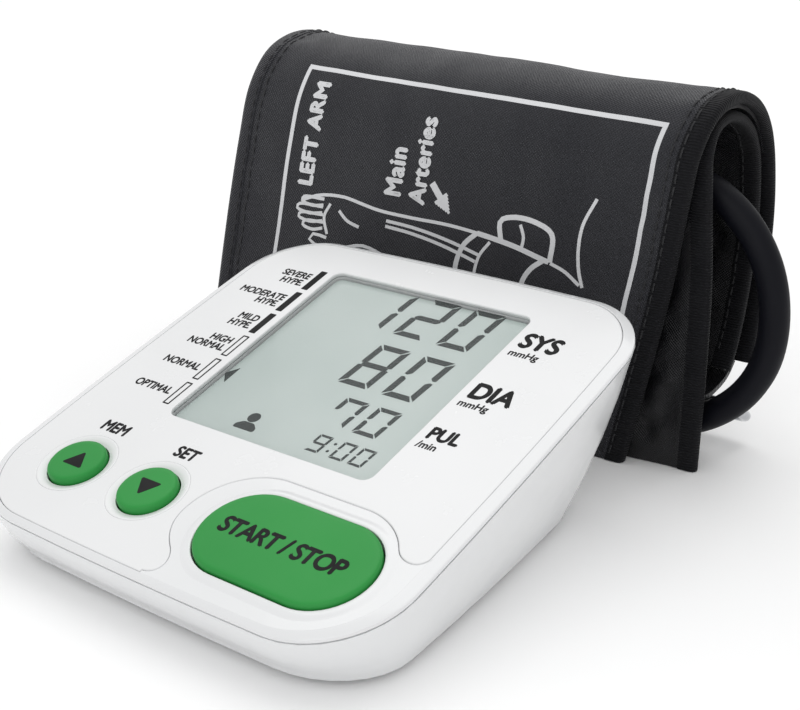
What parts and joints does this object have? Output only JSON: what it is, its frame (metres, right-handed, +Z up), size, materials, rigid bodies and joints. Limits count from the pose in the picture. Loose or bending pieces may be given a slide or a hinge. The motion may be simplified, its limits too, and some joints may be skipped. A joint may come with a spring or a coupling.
{
  "type": "upper arm blood pressure monitor",
  "caption": "Sloped desktop blood pressure monitor with large display and keys, joined by an air hose to an upper-arm cuff rolled up behind it.",
  "frame": {"origin": "on the table, at the middle of the footprint of monitor and cuff together", "axes": "+Z up, -Y towards the user in front of the keys, +X to the user's right"},
  "size_m": [0.1932, 0.1845, 0.1056],
  "materials": {
    "casing": "semi-gloss white",
    "fascia": "gloss white",
    "key": "satin green",
    "lens": "clear gloss",
    "lcd": "grey-green liquid crystal",
    "board": "green solder mask",
    "moulding": "matt black",
    "rubber": "matt",
    "steel": "plain",
    "chrome": "polished",
    "copper": "plain",
    "battery": "printed sleeve, plain",
    "foam": "closed-cell foam",
    "cloth": "coated nylon twill",
    "bladder": "matt sheet",
    "hook": "hook tape",
    "loop": "brushed loop pile",
    "hose": "satin"
  },
  "bodies": {
    "monitor": {"upper_cover": "casing", "lower_cover": "casing", "face_plate": "fascia", "window_lens": "lens", "lcd_glass": "lcd", "lcd_frame": "moulding", "zebra_strip": "rubber", "main_board": "board", "mcu_chip": "moulding", "pressure_sensor": "moulding", "start_switch": "moulding", "mem_switch": "moulding", "set_switch": "moulding", "board_screw_left": "steel", "board_screw_right": "steel", "pump_head": "moulding", "pump_motor": "steel", "pump_cradle": "foam", "valve_body": "moulding", "air_manifold": "moulding", "pump_tube": "rubber", "valve_tube": "rubber", "air_socket": "moulding", "air_hose": "hose", "cuff_shell": "cloth", "air_bladder": "bladder", "cuff_lining": "cloth", "cuff_inner_wrap": "cloth", "loop_patch": "loop", "d_ring_sleeve": "cloth", "hose_port": "rubber", "case_screw_front_left": "steel", "rubber_foot_front_left": "rubber", "case_screw_front_right": "steel", "rubber_foot_front_right": "rubber", "case_screw_rear_left": "steel", "rubber_foot_rear_left": "rubber", "case_screw_rear_right": "steel", "rubber_foot_rear_right": "rubber", "battery_1": "battery", "battery_2": "battery", "battery_3": "battery", "battery_4": "battery", "contact_rear_left": "steel", "contact_rear_right": "steel", "contact_front_plus": "steel", "contact_front_bridge": "steel", "contact_front_minus": "steel"},
    "start_key": {"start_button": "key"},
    "mem_key": {"mem_button": "key"},
    "set_key": {"set_button": "key"},
    "door": {"battery_door": "casing"},
    "plug": {"air_plug": "moulding"},
    "rotor": {"pump_rotor": "copper"},
    "plunger": {"valve_plunger": "steel"},
    "tail": {"cuff_tail": "cloth", "hook_patch": "hook"},
    "ring": {"d_ring": "chrome"}
  },
  "joints": [
    {"name": "start_key_press", "type": "slide", "parent": "monitor", "child": "start_key", "axis": [0, 0.319, -0.9478], "range_m": [0, 0.0006], "stiffness_N_per_m": 600, "springref_m": -0.0008},
    {"name": "mem_key_press", "type": "slide", "parent": "monitor", "child": "mem_key", "axis": [0, 0.319, -0.9478], "range_m": [0, 0.0006], "stiffness_N_per_m": 600, "springref_m": -0.0008},
    {"name": "set_key_press", "type": "slide", "parent": "monitor", "child": "set_key", "axis": [0, 0.319, -0.9478], "range_m": [0, 0.0006], "stiffness_N_per_m": 600, "springref_m": -0.0008},
    {"name": "door_slide", "type": "slide", "parent": "monitor", "child": "door", "axis": [0, 1, 0], "range_m": [0, 0.022]},
    {"name": "plug_pull", "type": "slide", "parent": "monitor", "child": "plug", "axis": [-1, 0, 0], "range_m": [0, 0.008], "deforming": ["air_hose"]},
    {"name": "rotor_spin", "type": "hinge", "parent": "monitor", "child": "rotor", "pos_m": [0.02314, 0.01261, 0.0306], "axis": [1, 0, 0], "continuous": true},
    {"name": "plunger_stroke", "type": "slide", "parent": "monitor", "child": "plunger", "axis": [1, 0, 0], "range_m": [0, 0.0006], "stiffness_N_per_m": 300, "springref_m": -0.0008},
    {"name": "tail_peel", "type": "hinge", "parent": "monitor", "child": "tail", "pos_m": [0.02314, 0.08861, 0.085], "axis": [1, 0, 0], "range_deg": [0, 70]},
    {"name": "ring_swing", "type": "hinge", "parent": "monitor", "child": "ring", "pos_m": [0.02314, 0.07361, 0.0155], "axis": [1, 0, 0], "range_deg": [0, 30]}
  ]
}
